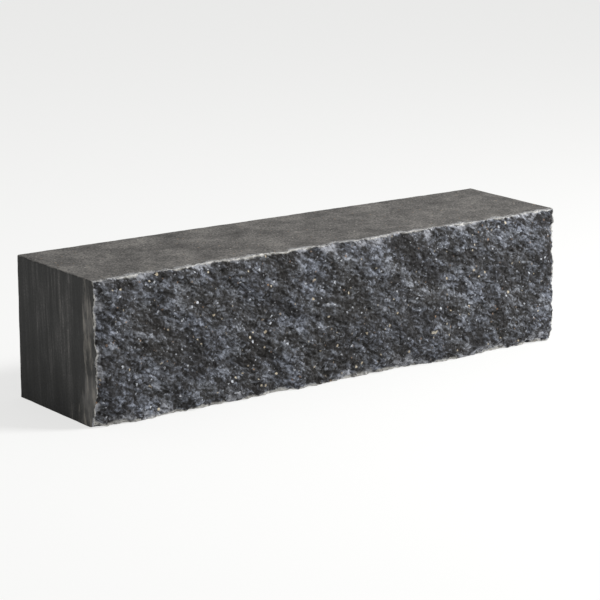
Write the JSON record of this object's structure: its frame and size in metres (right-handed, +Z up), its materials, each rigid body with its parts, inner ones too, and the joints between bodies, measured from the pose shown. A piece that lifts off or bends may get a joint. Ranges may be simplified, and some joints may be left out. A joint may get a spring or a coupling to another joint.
{
  "type": "wall block",
  "caption": "Solid oblong concrete wall block with one long side split to a rough stone-like face; bed, top, back and ends are plain moulded flats.",
  "frame": {"origin": "on the bed face, at mid length and midway between the back face and the split line", "axes": "+X along the block's length, +Y from the split face to the plain back face, +Z up from the bed face to the top face; the split face looks towards -Y"},
  "size_m": [0.6, 0.1557, 0.15],
  "materials": {
    "dark_concrete": "pressed dark grey concrete, rough and speckled where split, matt and faintly streaked where moulded"
  },
  "bodies": {
    "root": {"wall_block": "dark_concrete"}
  },
  "joints": []
}
